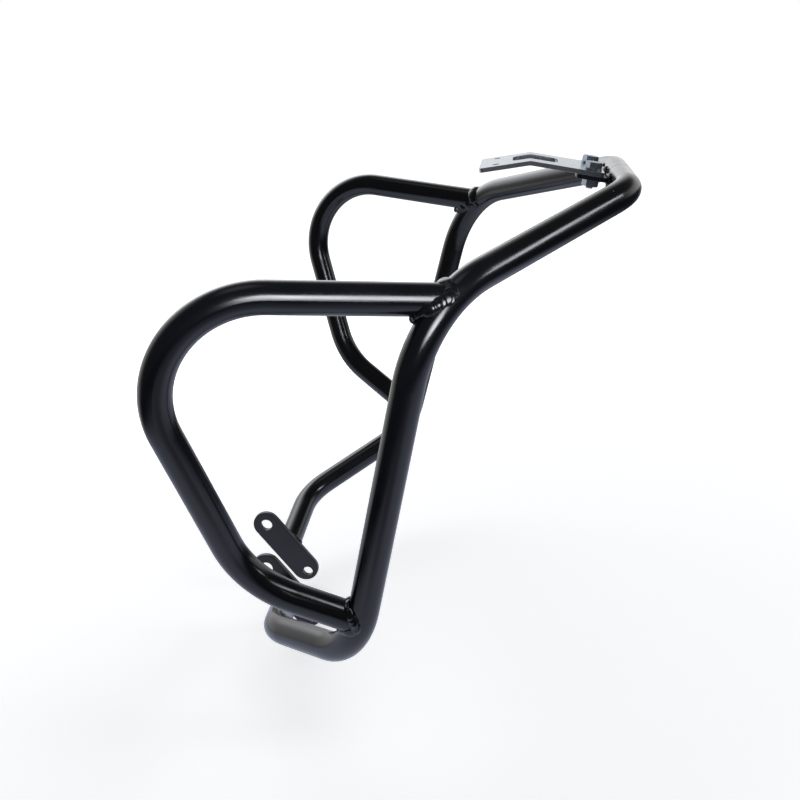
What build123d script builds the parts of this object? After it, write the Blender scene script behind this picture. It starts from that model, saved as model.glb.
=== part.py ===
from build123d import *
from dataclasses import dataclass
import math
import os

# Motorcycle crash bars: two welded tube halves, joined at the front by a bolted bracket.
# Millimetres. X points to the front of the bike, Y to its left and Z up.
# The origin is the middle of the bracket's two frame holes, on top of the bracket.

# Tube stock
TUBE_DIAMETER = 25.0
TUBE_WALL = 2.0

# Front bracket: a flat plate bent down towards the front
BRACKET_WIDTH = 76.0
BRACKET_THICKNESS = 4.0
BRACKET_REAR_MARGIN = 15.0      # frame holes to the rear edge
BRACKET_FLAT_LENGTH = 31.0      # frame holes to the bend
BRACKET_SLOPE = 18.0            # bend angle, degrees
BRACKET_BOLT_REACH = 56.0       # bend to the bolts, along the slope
BRACKET_FRONT_MARGIN = 10.0     # bolts to the front edge
BRACKET_BEND_RADIUS = 9.0       # inside of the bend
BRACKET_CORNER_RADIUS = 4.0
FRAME_HOLE_DIAMETER = 6.6
FRAME_HOLE_SPACING = 47.0
WINDOW_WIDTH = 34.0
WINDOW_LENGTH = 40.0
WINDOW_START = 15.0             # frame holes to the window
WINDOW_CORNER_RADIUS = 6.0

# Bolts, washers and nuts of the bracket
BOLT_SPACING = 50.0
BOLT_DIAMETER = 8.0
HEX_FLATS = 13.0
HEX_CHAMFER = 0.8
BOLT_HEAD_HEIGHT = 5.3
BOLT_TIP = 1.5                  # thread that stands out of the nut
NUT_HEIGHT = 6.5
WASHER_DIAMETER = 16.0
WASHER_THICKNESS = 1.6
BOLT_HOLE_CLEARANCE = 0.5       # on the radius, in bracket and tab
THREAD_CLEARANCE = 0.15         # on the radius, in nut and washer

# Tabs that carry the bracket
TAB_WIDTH = 26.0
TAB_THICKNESS = 4.0
TAB_REAR_MARGIN = 14.0          # bolt to the tab's rear edge
TAB_CORNER_RADIUS = 5.0

# Welds
WELD_LEG = 4.0
WELD_GAP = 0.15                 # root gap left by coping and cutting
HOOP_WELD_CLIMB = 3.5           # how far a hoop's bead climbs the hoop
HOOP_WELD_WRAP = 1.5            # how far it runs round the main tube, past the joint
TAB_WELD_CLEARANCE = 1.5        # bracket edge to the tab's bead
SEAM_GAP = 0.6

# Main tube: corners of the centre line, half widths from the mid plane
FRONT_HALF_WIDTH = 83.0
FRONT_BEND_RADIUS = 58.0
KNEE_X = -52.0
KNEE_HALF_WIDTH = 262.0
KNEE_Z = -63.0
KNEE_BEND_RADIUS = 88.0
BOTTOM_BEND_RADIUS = 65.0
FOOT_BEND_RADIUS = 65.0

# Lower corner and foot of each half, which follow the bike's different lugs
RIGHT_BOTTOM_X = -152.0
RIGHT_BOTTOM_HALF_WIDTH = 265.0
RIGHT_BOTTOM_Z = -340.0
RIGHT_FOOT_LENGTH = 131.0
RIGHT_FOOT_TOE_IN = 43.5        # from straight back, degrees
RIGHT_FOOT_DROP = 10.4          # below level, degrees
LEFT_BOTTOM_X = -166.0
LEFT_BOTTOM_HALF_WIDTH = 234.5
LEFT_BOTTOM_Z = -338.5
LEFT_FOOT_LENGTH = 153.5
LEFT_FOOT_TOE_IN = 39.1
LEFT_FOOT_DROP = 12.9

# Hoop: joints measured along the main tube from the seam, corners measured from the joints
HOOP_TOP_STATION = 298.0
HOOP_REACH = 230.0
HOOP_SPLAY = 85.0
HOOP_RISE = 56.0
HOOP_REAR_RADIUS = 75.0
RIGHT_HOOP_BOTTOM_STATION = 571.0
RIGHT_HOOP_LOWER_REACH = 84.0
RIGHT_HOOP_LOWER_SPLAY = 3.5
RIGHT_HOOP_LOWER_RISE = 45.0
RIGHT_HOOP_LOWER_RADIUS = 78.0
LEFT_HOOP_BOTTOM_STATION = 579.0
LEFT_HOOP_LOWER_REACH = 79.0
LEFT_HOOP_LOWER_SPLAY = 43.0
LEFT_HOOP_LOWER_RISE = 69.0
LEFT_HOOP_LOWER_RADIUS = 86.0

# Mount plates: obround flat bar, the upper hole on the round end's centre
PLATE_WIDTH = 30.0
PLATE_THICKNESS = 6.0
PLATE_TILT = 30.0               # from upright, lower end forward, degrees
PLATE_HOLE_SPACING = 72.0
PLATE_LOWER_MARGIN = 10.0       # lower hole to the lower end
PLATE_UPPER_HOLE = 13.0
PLATE_LOWER_HOLE = 11.0
PLATE_EDGE_CHAMFER = 0.6
PLATE_TUBE_OFFSET = 36.0        # upper hole to the tube's centre
PLATE_HALF_SPACE = 42.0         # mid plane to the inner face
RIGHT_PLATE_X = -288.0
RIGHT_PLATE_Z = -370.0
LEFT_PLATE_X = -309.5
LEFT_PLATE_Z = -363.5


@dataclass
class Half:
    """What differs between the two halves."""

    sign: int
    bottom: Vector
    foot_length: float
    foot_toe_in: float
    foot_drop: float
    hoop_station: float
    hoop_lower_corner: Vector
    hoop_lower_radius: float
    plate_x: float
    plate_z: float


HALVES = {
    "right": Half(
        sign=-1,
        bottom=Vector(RIGHT_BOTTOM_X, -RIGHT_BOTTOM_HALF_WIDTH, RIGHT_BOTTOM_Z),
        foot_length=RIGHT_FOOT_LENGTH,
        foot_toe_in=math.radians(RIGHT_FOOT_TOE_IN),
        foot_drop=math.radians(RIGHT_FOOT_DROP),
        hoop_station=RIGHT_HOOP_BOTTOM_STATION,
        hoop_lower_corner=Vector(-RIGHT_HOOP_LOWER_REACH, -RIGHT_HOOP_LOWER_SPLAY, RIGHT_HOOP_LOWER_RISE),
        hoop_lower_radius=RIGHT_HOOP_LOWER_RADIUS,
        plate_x=RIGHT_PLATE_X,
        plate_z=RIGHT_PLATE_Z,
    ),
    "left": Half(
        sign=1,
        bottom=Vector(LEFT_BOTTOM_X, LEFT_BOTTOM_HALF_WIDTH, LEFT_BOTTOM_Z),
        foot_length=LEFT_FOOT_LENGTH,
        foot_toe_in=math.radians(LEFT_FOOT_TOE_IN),
        foot_drop=math.radians(LEFT_FOOT_DROP),
        hoop_station=LEFT_HOOP_BOTTOM_STATION,
        hoop_lower_corner=Vector(-LEFT_HOOP_LOWER_REACH, LEFT_HOOP_LOWER_SPLAY, LEFT_HOOP_LOWER_RISE),
        hoop_lower_radius=LEFT_HOOP_LOWER_RADIUS,
        plate_x=LEFT_PLATE_X,
        plate_z=LEFT_PLATE_Z,
    ),
}

tube_radius = TUBE_DIAMETER / 2
bore_radius = tube_radius - TUBE_WALL
bead_radius = tube_radius + WELD_LEG

# The sloped half of the bracket has its own plane: x down the slope, z out of its top face
slope = Plane(origin=(BRACKET_FLAT_LENGTH, 0, 0)).rotated((0, BRACKET_SLOPE, 0))

# The tabs lie under the bracket, and the cross tube's axis lies in their mid plane
tab_top = -BRACKET_THICKNESS
tab_bottom = tab_top - TAB_THICKNESS
tab_middle = (tab_top + tab_bottom) / 2
bracket_front = BRACKET_BOLT_REACH + BRACKET_FRONT_MARGIN
cross_reach = bracket_front + TAB_WELD_CLEARANCE + bead_radius
cross_axis = slope.from_local_coords(Vector(cross_reach, 0, tab_middle))

plate_outer = PLATE_HALF_SPACE + PLATE_THICKNESS
plate_end_spacing = PLATE_HOLE_SPACING + PLATE_LOWER_MARGIN - PLATE_WIDTH / 2


def rod(path, radius):
    """Solid round bar along a path."""
    start = Plane(origin=path @ 0, z_dir=path % 0)
    return sweep(start * Circle(radius), path=path)


def plate_plane(half, distance):
    """Plane of a mount plate at a distance from the mid plane: x down the plate, z outwards."""
    tilt = math.radians(PLATE_TILT)
    return Plane(
        origin=(half.plate_x, half.sign * distance, half.plate_z),
        x_dir=(math.sin(tilt), 0, -math.cos(tilt)),
        z_dir=(0, half.sign, 0),
    )


def plate_seat(half):
    """Centre of the main tube's end, on the mount plate's outer face."""
    return plate_plane(half, plate_outer).from_local_coords(Vector(PLATE_TUBE_OFFSET, 0, 0))


def foot_corner(half):
    """Corner of the centre line where the foot turns in to its plate."""
    level = half.foot_length * math.cos(half.foot_drop)
    return half.bottom - Vector(
        level * math.cos(half.foot_toe_in),
        half.sign * level * math.sin(half.foot_toe_in),
        half.foot_length * math.sin(half.foot_drop),
    )


def main_path(half):
    """Centre line of the main tube, from the front seam to just past the plate's outer face."""
    sign = half.sign
    foot = foot_corner(half)
    seat = plate_seat(half)
    return FilletPolyline(
        (cross_axis.X, sign * SEAM_GAP / 2, cross_axis.Z),
        (cross_axis.X, sign * FRONT_HALF_WIDTH, cross_axis.Z),
        (KNEE_X, sign * KNEE_HALF_WIDTH, KNEE_Z),
        half.bottom,
        foot,
        seat + (seat - foot).normalized() * tube_radius,
        radius=[FRONT_BEND_RADIUS, KNEE_BEND_RADIUS, BOTTOM_BEND_RADIUS, FOOT_BEND_RADIUS],
    )


def hoop_path(half, main_line):
    """Centre line of the hoop, from its upper joint to its lower joint on the main tube."""
    top = main_line.position_at(HOOP_TOP_STATION, PositionMode.LENGTH)
    bottom = main_line.position_at(half.hoop_station, PositionMode.LENGTH)
    return FilletPolyline(
        top,
        top + Vector(-HOOP_REACH, half.sign * HOOP_SPLAY, HOOP_RISE),
        bottom + half.hoop_lower_corner,
        bottom,
        radius=[HOOP_REAR_RADIUS, half.hoop_lower_radius],
    )


def main_tube(half, main_line):
    """Bent tube, cut square at the seam and flat against its mount plate."""
    reach = 2 * TUBE_DIAMETER
    seat = plate_plane(half, plate_outer) * Pos(PLATE_TUBE_OFFSET, 0)
    past_plate = seat * Pos(0, 0, -reach / 2) * Box(reach, reach, reach)
    return rod(main_line, tube_radius) - rod(main_line, bore_radius) - past_plate


def hoop_tube(hoop_line, main_line):
    """Bent tube, both ends coped to the main tube."""
    return rod(hoop_line, tube_radius) - rod(hoop_line, bore_radius) - rod(main_line, tube_radius + WELD_GAP)


def hoop_weld(joint, along, main_line):
    """Bead between a hoop's end and the main tube, from a joint along the hoop's first run."""
    start = joint - along * HOOP_WELD_WRAP
    finish = joint + along * (2 * TUBE_DIAMETER)
    run = Line(start, finish)
    collar = rod(run, bead_radius) & rod(main_line, tube_radius + HOOP_WELD_CLIMB)
    return collar - rod(run, tube_radius) - rod(main_line, tube_radius + WELD_GAP)


def mount_plate(half):
    """Obround plate with two bolt holes, its inner face towards the mid plane."""
    face = plate_plane(half, PLATE_HALF_SPACE)
    outline = Pos(plate_end_spacing / 2, 0) * SlotCenterToCenter(plate_end_spacing, PLATE_WIDTH)
    plate = extrude(face * outline, PLATE_THICKNESS)
    plate = chamfer(plate.edges(), PLATE_EDGE_CHAMFER)
    upper = face * Circle(PLATE_UPPER_HOLE / 2)
    lower = face * Pos(PLATE_HOLE_SPACING, 0) * Circle(PLATE_LOWER_HOLE / 2)
    return plate - extrude(upper, PLATE_THICKNESS) - extrude(lower, PLATE_THICKNESS)


def foot_section(half, radius, height):
    """Slanted section of a bar on the foot's axis, at a height over the mount plate's outer face."""
    seat = plate_seat(half)
    run = (foot_corner(half) - seat).normalized()
    outwards = plate_plane(half, plate_outer).z_dir
    slant = run.dot(outwards)
    plane = Plane(origin=seat + run * (height / slant), x_dir=run - outwards * slant, z_dir=outwards)
    return plane * Ellipse(radius / slant, radius)


def plate_weld(half):
    """Bead round the main tube's end, as tall on every side and no wider than the plate's flat."""
    seat = plate_seat(half)
    run = (foot_corner(half) - seat).normalized()
    toe = foot_section(half, bead_radius, 0)
    inside_tube = foot_section(half, tube_radius - WELD_LEG, 2 * WELD_LEG)
    mound = loft([toe, inside_tube], ruled=True)
    tube = rod(Line(seat - run * TUBE_DIAMETER, seat + run * TUBE_DIAMETER), tube_radius)
    flat_width = PLATE_WIDTH - 2 * PLATE_EDGE_CHAMFER
    outline = Pos(plate_end_spacing / 2, 0) * SlotCenterToCenter(plate_end_spacing, flat_width)
    over_plate = extrude(plate_plane(half, plate_outer) * outline, 2 * WELD_LEG, dir=run)
    return (mound & over_plate) - tube


def tab_block(half, grow):
    """A tab's block, from its rear edge to the cross tube's axis, grown on its long faces."""
    length = cross_reach - BRACKET_BOLT_REACH + TAB_REAR_MARGIN
    block = Box(length, TAB_WIDTH + 2 * grow, TAB_THICKNESS + 2 * grow)
    return slope * Pos(cross_reach - length / 2, half.sign * BOLT_SPACING / 2, tab_middle) * block


def cross_rod(half, radius):
    """Solid bar on the cross tube's axis, from the seam to the front corner."""
    sign = half.sign
    seam = Vector(cross_axis.X, sign * SEAM_GAP / 2, cross_axis.Z)
    corner = Vector(cross_axis.X, sign * FRONT_HALF_WIDTH, cross_axis.Z)
    return rod(Line(seam, corner), radius)


def bolt_axis(half, height):
    """Place on a bracket bolt's axis, at a height over the slope's top face."""
    return slope * Pos(BRACKET_BOLT_REACH, half.sign * BOLT_SPACING / 2, height)


def bolt_bar(half, radius, low, high):
    """Round bar on a bracket bolt's axis, between two heights."""
    return bolt_axis(half, (low + high) / 2) * Cylinder(radius, high - low)


def bolt_hole(half, low, high):
    """Clearance hole for a bracket bolt."""
    return bolt_bar(half, BOLT_DIAMETER / 2 + BOLT_HOLE_CLEARANCE, low, high)


def bracket_tab(half):
    """Lug with round rear corners and a bolt hole, cut to the cross tube."""
    tab = tab_block(half, 0)
    corners = tab.edges().filter_by(Axis((0, 0, 0), slope.z_dir))
    rear_corners = corners.sort_by(Axis((0, 0, 0), slope.x_dir))[:2]
    tab = fillet(rear_corners, TAB_CORNER_RADIUS)
    return tab - bolt_hole(half, tab_bottom, tab_top) - cross_rod(half, tube_radius + WELD_GAP)


def tab_weld(half):
    """Bead round a tab's root on the cross tube."""
    around = tab_block(half, WELD_LEG) & cross_rod(half, bead_radius)
    return around - tab_block(half, 0) - cross_rod(half, tube_radius + WELD_GAP)


def front_bracket():
    """Bent plate with frame holes, a window across the bend and bolt holes on its slope."""
    front = slope.from_local_coords(Vector(bracket_front, 0, 0))
    front_under = slope.from_local_coords(Vector(bracket_front, 0, -BRACKET_THICKNESS))
    half_bend = math.radians(BRACKET_SLOPE / 2)
    bend_under_x = BRACKET_FLAT_LENGTH - BRACKET_THICKNESS * math.tan(half_bend)
    rear = -BRACKET_REAR_MARGIN
    profile = Polyline(
        (rear, 0),
        (BRACKET_FLAT_LENGTH, 0),
        (front.X, front.Z),
        (front_under.X, front_under.Z),
        (bend_under_x, -BRACKET_THICKNESS),
        (rear, -BRACKET_THICKNESS),
        close=True,
    )
    sheet = extrude(Plane.XZ * make_face(profile), BRACKET_WIDTH / 2, both=True)
    bend_edges = sheet.edges().filter_by(Axis.Y)
    outer_bend = bend_edges.sort_by_distance((BRACKET_FLAT_LENGTH, 0, 0))[0]
    inner_bend = bend_edges.sort_by_distance((bend_under_x, 0, -BRACKET_THICKNESS))[0]
    sheet = fillet(outer_bend, BRACKET_BEND_RADIUS + BRACKET_THICKNESS)
    bend_edges = sheet.edges().filter_by(Axis.Y)
    sheet = fillet(bend_edges.sort_by_distance(inner_bend.center())[0], BRACKET_BEND_RADIUS)
    rear_corners = sheet.edges().filter_by(Axis.Z)
    sheet = fillet(rear_corners, BRACKET_CORNER_RADIUS)
    front_corners = sheet.edges().filter_by(Axis((0, 0, 0), slope.z_dir))
    sheet = fillet(front_corners, BRACKET_CORNER_RADIUS)
    window = Pos(WINDOW_START + WINDOW_LENGTH / 2, 0) * RectangleRounded(
        WINDOW_LENGTH, WINDOW_WIDTH, WINDOW_CORNER_RADIUS
    )
    window_depth = BRACKET_THICKNESS - front.Z
    sheet -= extrude(window, window_depth, both=True)
    for half in HALVES.values():
        frame_hole = Pos(0, half.sign * FRAME_HOLE_SPACING / 2) * Circle(FRAME_HOLE_DIAMETER / 2)
        sheet -= extrude(frame_hole, -BRACKET_THICKNESS)
        sheet -= bolt_hole(half, -BRACKET_THICKNESS, 0)
    return sheet


def hexagon(half, low, high, ends):
    """Hexagon block on a bracket bolt's axis, its corners rounded off at one or both ends."""
    height = high - low
    corner_radius = HEX_FLATS / math.sqrt(3)
    block = extrude(RegularPolygon(HEX_FLATS / 2, 6, major_radius=False), height)
    turned = Pos(0, 0, height / 2) * Cylinder(corner_radius, height)
    rims = turned.edges().filter_by(GeomType.CIRCLE).sort_by(Axis.Z)
    turned = chamfer(rims[-ends:], HEX_CHAMFER)
    return bolt_axis(half, low) * (block & turned)


def bracket_bolt(half):
    """Hexagon bolt through washer, bracket, tab and nut."""
    seat = WASHER_THICKNESS
    head = hexagon(half, seat, seat + BOLT_HEAD_HEIGHT, ends=1)
    return head + bolt_bar(half, BOLT_DIAMETER / 2, tab_bottom - NUT_HEIGHT - BOLT_TIP, seat)


def bracket_washer(half):
    """Flat washer under a bolt's head."""
    disc = bolt_bar(half, WASHER_DIAMETER / 2, 0, WASHER_THICKNESS)
    return disc - bolt_bar(half, BOLT_DIAMETER / 2 + THREAD_CLEARANCE, 0, WASHER_THICKNESS)


def bracket_nut(half):
    """Hexagon nut under a tab."""
    nut = hexagon(half, tab_bottom - NUT_HEIGHT, tab_bottom, ends=2)
    return nut - bolt_bar(half, BOLT_DIAMETER / 2 + THREAD_CLEARANCE, tab_bottom - NUT_HEIGHT, tab_bottom)


nodes = {}
for side, half in HALVES.items():
    main_line = main_path(half)
    hoop_line = hoop_path(half, main_line)
    nodes[f"{side}_main_tube"] = main_tube(half, main_line)
    nodes[f"{side}_hoop_tube"] = hoop_tube(hoop_line, main_line)
    nodes[f"{side}_upper_weld"] = hoop_weld(hoop_line @ 0, hoop_line % 0, main_line)
    nodes[f"{side}_lower_weld"] = hoop_weld(hoop_line @ 1, (hoop_line % 1) * -1, main_line)
    nodes[f"{side}_mount_plate"] = mount_plate(half)
    nodes[f"{side}_plate_weld"] = plate_weld(half)
    nodes[f"{side}_bracket_tab"] = bracket_tab(half)
    nodes[f"{side}_tab_weld"] = tab_weld(half)

nodes["front_bracket"] = front_bracket()
nodes["bracket_bolts"] = Part() + [bracket_bolt(half) for half in HALVES.values()]
nodes["bracket_washers"] = Part() + [bracket_washer(half) for half in HALVES.values()]
nodes["bracket_nuts"] = Part() + [bracket_nut(half) for half in HALVES.values()]

os.makedirs("parts", exist_ok=True)
for name, solid in nodes.items():
    export_step(solid, f"parts/{name}.step")
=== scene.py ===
import math
import random

import bmesh
import bpy
from bpy.props import FloatProperty, FloatVectorProperty, IntProperty, PointerProperty
from mathutils import Matrix, Quaternion, Vector
from mathutils.bvhtree import BVHTree


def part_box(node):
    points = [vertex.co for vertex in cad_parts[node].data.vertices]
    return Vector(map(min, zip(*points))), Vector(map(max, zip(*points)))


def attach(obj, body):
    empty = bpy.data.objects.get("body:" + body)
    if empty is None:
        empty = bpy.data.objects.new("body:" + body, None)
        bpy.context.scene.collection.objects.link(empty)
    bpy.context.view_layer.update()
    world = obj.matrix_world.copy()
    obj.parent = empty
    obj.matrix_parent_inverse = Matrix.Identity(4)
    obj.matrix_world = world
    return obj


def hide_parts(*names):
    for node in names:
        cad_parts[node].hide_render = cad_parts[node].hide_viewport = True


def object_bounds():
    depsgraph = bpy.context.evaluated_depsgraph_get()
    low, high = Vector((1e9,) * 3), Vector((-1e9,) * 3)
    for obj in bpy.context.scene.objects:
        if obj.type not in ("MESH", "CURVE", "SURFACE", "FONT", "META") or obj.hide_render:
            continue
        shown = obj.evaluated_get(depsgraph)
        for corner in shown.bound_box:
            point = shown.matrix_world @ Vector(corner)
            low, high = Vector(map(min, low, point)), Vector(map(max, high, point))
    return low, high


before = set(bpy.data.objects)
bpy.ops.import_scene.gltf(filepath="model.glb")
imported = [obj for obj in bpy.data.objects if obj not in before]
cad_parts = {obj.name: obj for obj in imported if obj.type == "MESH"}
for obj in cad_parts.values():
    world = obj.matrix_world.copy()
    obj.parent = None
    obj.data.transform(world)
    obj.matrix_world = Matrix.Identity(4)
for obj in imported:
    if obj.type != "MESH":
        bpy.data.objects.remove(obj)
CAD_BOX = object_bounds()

# Dresses a pair of motorcycle crash bars: powder coated tubes, rippled weld beads,
# eased plates, zinc plated bracket and fasteners, and a white studio.
# Metres. X points to the front of the bike, Y to its left and Z up.

bl_info = {
    "name": "Motorcycle Crash Bars",
    "version": (1, 0, 0),
    "blender": (4, 5, 0),
    "location": "View3D > Sidebar > Crash Bars",
    "description": "Finishes the tubes, welds, plates, bracket and fasteners of a pair of crash bars",
    "category": "Object",
}

MM = 0.001
BODY = "root"
SIDES = ("right", "left")

# Two corners of a CAD node closer than this are one corner
MERGE_DISTANCE = 0.001 * MM
# Faces of a CAD node flatter than this to each other are one face
FLAT_ANGLE = math.radians(0.3)
# Edges of a CAD node sharper than this are real edges, not facets of a round face
SHARP_ANGLE = math.radians(28)
# Place of the colour result among a mix node's outputs
MIXED_COLOUR = 2


def linear(code):
    """Linear colour from an sRGB hex code."""
    shares = [int(code[place:place + 2], 16) / 255 for place in (1, 3, 5)]
    return [share / 12.92 if share <= 0.04045 else ((share + 0.055) / 1.055) ** 2.4 for share in shares]


# Settings

class CoatSettings(bpy.types.PropertyGroup):
    """Black powder coat of the tubes, plates and welds."""

    colour: FloatVectorProperty(
        name="Coat colour", description="Deepest tone of the powder coat",
        subtype="COLOR", size=3, min=0, max=1, default=linear("#06070A"))
    thin_colour: FloatVectorProperty(
        name="Thin coat colour", description="Tone where the coat is a little thinner",
        subtype="COLOR", size=3, min=0, max=1, default=linear("#0B0D13"))
    dust_colour: FloatVectorProperty(
        name="Dust colour", description="Tone of the rare specks baked into the coat",
        subtype="COLOR", size=3, min=0, max=1, default=linear("#9A9CA2"))
    roughness: FloatProperty(
        name="Coat roughness", description="Roughness of the baked tube coat",
        subtype="FACTOR", min=0, max=1, default=0.20)
    plate_roughness: FloatProperty(
        name="Plate roughness", description="Roughness of the coat on flat bar, which has more grain",
        subtype="FACTOR", min=0, max=1, default=0.38)
    peel_width: FloatProperty(
        name="Orange peel width", description="Distance between the coat's soft waves",
        unit="LENGTH", precision=5, min=0.1 * MM, default=1.8 * MM)
    peel_height: FloatProperty(
        name="Orange peel height", description="Height of the coat's soft waves",
        unit="LENGTH", precision=6, min=0, default=0.004 * MM)
    grain_width: FloatProperty(
        name="Powder grain width", description="Size of the fine powder grain",
        unit="LENGTH", precision=5, min=0.05 * MM, default=0.4 * MM)
    dust_spacing: FloatProperty(
        name="Dust spacing", description="Size of the cell in which one speck may lie",
        unit="LENGTH", precision=5, min=1 * MM, default=11 * MM)


class ZincSettings(bpy.types.PropertyGroup):
    """Bright zinc plate of the bracket and its fasteners."""

    colour: FloatVectorProperty(
        name="Zinc colour", description="Bright tone of the zinc plate",
        subtype="COLOR", size=3, min=0, max=1, default=linear("#CBCED2"))
    dull_colour: FloatVectorProperty(
        name="Dull zinc colour", description="Tone of the duller, bluish patches",
        subtype="COLOR", size=3, min=0, max=1, default=linear("#B2B8C0"))
    edge_tint: FloatVectorProperty(
        name="Zinc edge tint", description="How much the plate still mirrors at a low angle",
        subtype="COLOR", size=3, min=0, max=1, default=linear("#CDCFD0"))
    roughness: FloatProperty(
        name="Zinc roughness", description="Roughness of the plated steel",
        subtype="FACTOR", min=0, max=1, default=0.19)
    blue_colour: FloatVectorProperty(
        name="Blue zinc colour", description="Tone of the blue passivated patches on the fasteners",
        subtype="COLOR", size=3, min=0, max=1, default=linear("#8E9BA8"))
    fastener_roughness: FloatProperty(
        name="Fastener roughness", description="Roughness of the plated bolts, washers and nuts",
        subtype="FACTOR", min=0, max=1, default=0.27)
    grain_width: FloatProperty(
        name="Rolling grain width", description="Distance between the sheet's rolling lines",
        unit="LENGTH", precision=5, min=0.05 * MM, default=0.5 * MM)


class BeadSettings(bpy.types.PropertyGroup):
    """Weld beads."""

    upper_leg: FloatProperty(
        name="Upper bead leg", description="Seam to the toe of a hoop's upper bead",
        unit="LENGTH", precision=5, min=0.5 * MM, default=5.0 * MM)
    lower_leg: FloatProperty(
        name="Lower bead leg", description="Seam to the toe of a hoop's lower bead",
        unit="LENGTH", precision=5, min=0.5 * MM, default=3.4 * MM)
    plate_leg: FloatProperty(
        name="Plate bead leg", description="Seam to the toe of a mount plate's bead",
        unit="LENGTH", precision=5, min=0.5 * MM, default=3.4 * MM)
    tab_leg: FloatProperty(
        name="Tab bead leg", description="Seam to the toe of a tab's bead",
        unit="LENGTH", precision=5, min=0.5 * MM, default=2.4 * MM)
    crown: FloatProperty(
        name="Crown", description="How far a bead bulges over the line between its toes",
        unit="LENGTH", precision=5, min=0, default=1.0 * MM)
    ripple_pitch: FloatProperty(
        name="Ripple pitch", description="Distance between two ripples",
        unit="LENGTH", precision=5, min=0.5 * MM, default=3.0 * MM)
    ripple_length: FloatProperty(
        name="Ripple length", description="Half length of a ripple as a share of the pitch",
        subtype="FACTOR", min=0.6, max=4, default=2.0)
    ripple_lean: FloatProperty(
        name="Ripple lean", description="How far each ripple leans back along the seam",
        subtype="ANGLE", default=math.radians(8))
    unevenness: FloatProperty(
        name="Unevenness", description="How much ripples differ in size",
        subtype="FACTOR", min=0, max=0.5, default=0.22)
    voxel: FloatProperty(
        name="Bead resolution", description="Cell size when ripples melt into one bead",
        unit="LENGTH", precision=5, min=0.2 * MM, default=0.4 * MM)
    seed: IntProperty(name="Seed", description="Picks one set of uneven ripples", default=7)


class EdgeSettings(bpy.types.PropertyGroup):
    """Rounding of cut edges."""

    plate: FloatProperty(
        name="Plate edge", description="Rounding of the coated plates' edges",
        unit="LENGTH", precision=5, min=0, default=0.35 * MM)
    bracket: FloatProperty(
        name="Bracket edge", description="Rounding of the bracket's sheared edges",
        unit="LENGTH", precision=5, min=0, default=0.40 * MM)
    fastener: FloatProperty(
        name="Fastener edge", description="Rounding of washers, nuts and bolt heads",
        unit="LENGTH", precision=5, min=0, default=0.15 * MM)
    seam: FloatProperty(
        name="Seam line", description="Thickness of the filled seam between the main tubes",
        unit="LENGTH", precision=5, min=0.1 * MM, default=1.1 * MM)
    corner: FloatProperty(
        name="Bracket corner", description="Rounding of the bracket's outer corners, seen from above",
        unit="LENGTH", precision=5, min=0, default=2.5 * MM)
    segments: IntProperty(
        name="Edge segments", description="Faces across a rounded edge", min=1, max=6, default=3)


class ThreadSettings(bpy.types.PropertyGroup):
    """Thread of the bracket's bolts."""

    diameter: FloatProperty(
        name="Thread diameter", description="Crest to crest of the thread",
        unit="LENGTH", precision=5, min=1 * MM, default=8.0 * MM)
    pitch: FloatProperty(
        name="Thread pitch", description="Distance between two turns",
        unit="LENGTH", precision=5, min=0.2 * MM, default=1.25 * MM)
    depth: FloatProperty(
        name="Thread depth", description="Crest to root of the thread",
        unit="LENGTH", precision=5, min=0.1 * MM, default=0.70 * MM)
    steps: IntProperty(name="Thread steps", description="Faces in one turn", min=8, max=96, default=32)


class StageSettings(bpy.types.PropertyGroup):
    """White studio: floor, light and camera."""

    floor_size: FloatProperty(
        name="Floor size", description="Side of the pale floor", unit="LENGTH", min=1, default=12.0)
    floor_colour: FloatVectorProperty(
        name="Floor colour", description="Pale paint of the floor",
        subtype="COLOR", size=3, min=0, max=1, default=linear("#F2F2F2"))
    floor_lift: FloatProperty(
        name="Floor lift", description="How much the floor glows for the camera alone", min=0, default=0.52)
    shadow_depth: FloatProperty(
        name="Shadow depth", description="How much of the object's shadow the camera sees",
        subtype="FACTOR", min=0, max=1, default=1.0)
    cool_colour: FloatVectorProperty(
        name="Cool floor colour", description="Tone of the floor before the object, as the coat mirrors it",
        subtype="COLOR", size=3, min=0, max=1, default=linear("#D2DAF0"))
    ambient: FloatProperty(
        name="Ambient light", description="Even light of the white room", min=0, default=0.25)
    dim_room: FloatProperty(
        name="Dim room", description="How bright the coat mirrors the rest of the room",
        min=0, default=0.08)
    key_power: FloatProperty(
        name="Key lamp", description="Power of the strip lamp beside the hoop, in watts",
        min=0, default=0.19)
    front_power: FloatProperty(
        name="Front lamp", description="Power of the lamp before the bike, in watts",
        min=0, default=5.0)
    lower_power: FloatProperty(
        name="Lower lamp", description="Power of the small lamp over the hoop's lower run, in watts",
        min=0, default=0.022)
    rear_power: FloatProperty(
        name="Rear lamp", description="Power of the soft box over the backdrop, in watts",
        min=0, default=42.0)
    side_power: FloatProperty(
        name="Side lamp", description="Power of the soft box at the pale wall, in watts",
        min=0, default=1.8)
    camera_place: FloatVectorProperty(
        name="Camera place", description="Where the camera stands",
        subtype="TRANSLATION", unit="LENGTH", size=3, default=(0.0401, -0.9437, 0.1015))
    camera_aim: FloatVectorProperty(
        name="Camera aim", description="Direction in which the camera looks",
        subtype="DIRECTION", size=3, default=(-0.1654, 0.9337, -0.3177))
    camera_roll: FloatProperty(
        name="Camera roll", description="Turn of the camera about its aim",
        subtype="ANGLE", default=math.radians(-9.85))
    lens: FloatProperty(
        name="Lens", description="Focal length on a 36 mm wide frame, in millimetres",
        min=10, default=45.0)


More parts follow.
